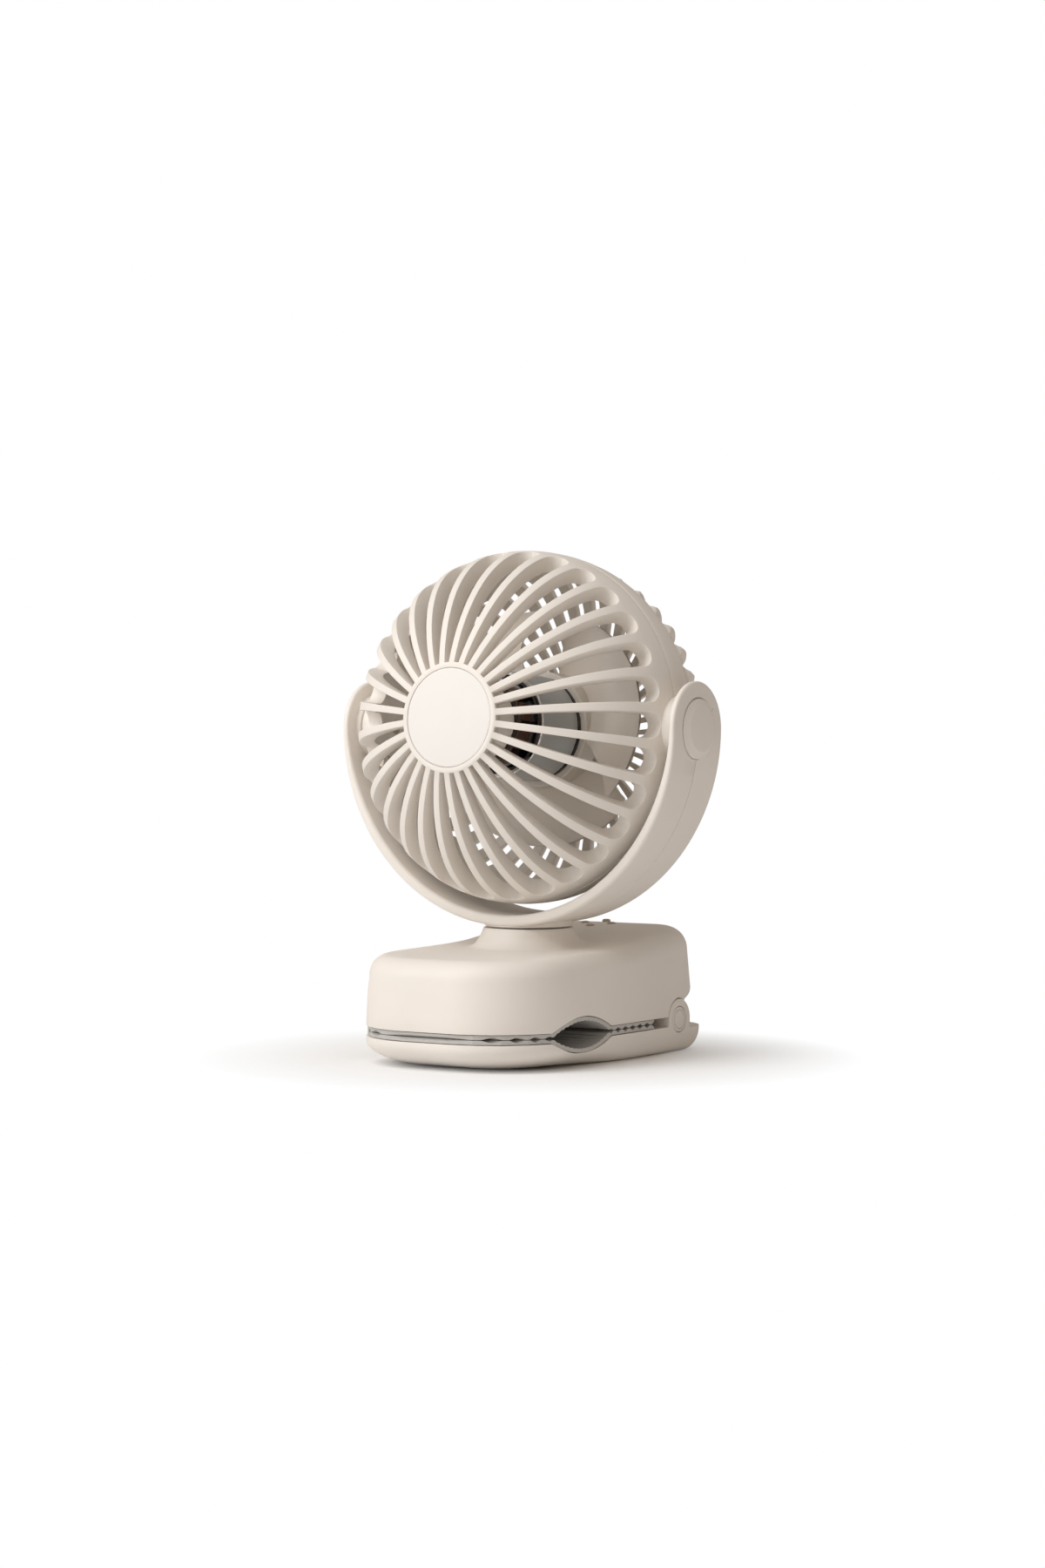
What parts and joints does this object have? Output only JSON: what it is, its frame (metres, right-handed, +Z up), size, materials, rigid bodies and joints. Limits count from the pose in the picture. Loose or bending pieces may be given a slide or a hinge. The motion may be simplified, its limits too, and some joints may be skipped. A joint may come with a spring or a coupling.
{
  "type": "clip fan",
  "caption": "Round caged fan head tilting in a U-shaped yoke that swivels on a battery base, whose underside is a sprung clip jaw lined with ribbed rubber pads.",
  "frame": {"origin": "on the floor plane, under the swivel axis and midway between the ends and sides of the lower jaw", "axes": "+Z up along the swivel axis, the fan blows towards -Y, +X is the side of the right pivot cap"},
  "size_m": [0.1628, 0.1472, 0.2044],
  "materials": {
    "ivory": "fine satin moulding texture",
    "disc": "satin, a little paler than the cage",
    "pad_rubber": "moulded ribbed rubber",
    "blade": "semi-clear warm plastic",
    "key": "satin",
    "steel": "turned steel",
    "can": "grey plated steel",
    "copper": "enamelled copper winding",
    "brass": "machined",
    "black": "black",
    "magnet": "bonded ferrite",
    "board": "solder mask green",
    "cell": "printed wrap over a metal can"
  },
  "bodies": {
    "base": {"base_shell": "ivory", "jaw_plate": "ivory", "upper_pad": "pad_rubber", "hinge_pin": "steel", "jaw_spring": "steel", "control_board": "board", "usb_socket": "steel", "cell_front": "cell", "cell_rear": "cell", "cell_tray": "black", "swivel_washer": "black"},
    "jaw": {"lower_jaw": "ivory", "lower_plate": "ivory", "lower_pad": "pad_rubber", "pin_cap_right": "ivory", "pin_cap_left": "ivory"},
    "yoke": {"yoke_front": "ivory", "yoke_rear": "ivory", "swivel_shaft": "steel", "swivel_nut": "brass", "yoke_lead": "black", "pivot_cap_right": "ivory", "pivot_cap_left": "ivory", "pivot_washer_right": "black", "pivot_washer_left": "black"},
    "head": {"trunnion_right": "ivory", "trunnion_left": "ivory", "front_grille": "ivory", "hub_disc": "disc", "rear_shell": "ivory", "motor_pedestal": "ivory", "motor_board": "board", "bearing_tube": "brass", "stator_core": "steel", "coils_front": "copper", "coils_rear": "copper"},
    "rotor": {"fan_impeller": "blade", "motor_can": "can", "magnet_ring": "magnet", "motor_shaft": "steel", "can_ring": "black"},
    "key_front": {"key_front": "key"},
    "key_left": {"key_left": "key"},
    "key_right": {"key_right": "key"},
    "key_rear": {"key_rear": "key"}
  },
  "joints": [
    {"name": "swivel", "type": "hinge", "parent": "base", "child": "yoke", "pos_m": [0, 0, 0.0524], "axis": [0, 0, 1], "range_deg": [-180, 180]},
    {"name": "head_tilt", "type": "hinge", "parent": "yoke", "child": "head", "pos_m": [0, 0, 0.133], "axis": [1, 0, 0], "range_deg": [-85.5, 94.5]},
    {"name": "fan_spin", "type": "hinge", "parent": "head", "child": "rotor", "pos_m": [0, 0, 0.133], "axis": [0, -0.9969, 0.0785], "continuous": true},
    {"name": "jaw_open", "type": "hinge", "parent": "base", "child": "jaw", "pos_m": [0, 0.0433, 0.0139], "axis": [1, 0, 0], "range_deg": [0, 22], "stiffness_Nm_per_rad": 1.6, "springref_deg": -22.92},
    {"name": "key_front_press", "type": "slide", "parent": "base", "child": "key_front", "axis": [0, 0, -1], "range_m": [0, 0.0008], "stiffness_N_per_m": 300, "springref_m": -0.0006},
    {"name": "key_left_press", "type": "slide", "parent": "base", "child": "key_left", "axis": [0, 0, -1], "range_m": [0, 0.0008], "stiffness_N_per_m": 300, "springref_m": -0.0006},
    {"name": "key_right_press", "type": "slide", "parent": "base", "child": "key_right", "axis": [0, 0, -1], "range_m": [0, 0.0008], "stiffness_N_per_m": 300, "springref_m": -0.0006},
    {"name": "key_rear_press", "type": "slide", "parent": "base", "child": "key_rear", "axis": [0, 0, -1], "range_m": [0, 0.0008], "stiffness_N_per_m": 300, "springref_m": -0.0006}
  ]
}
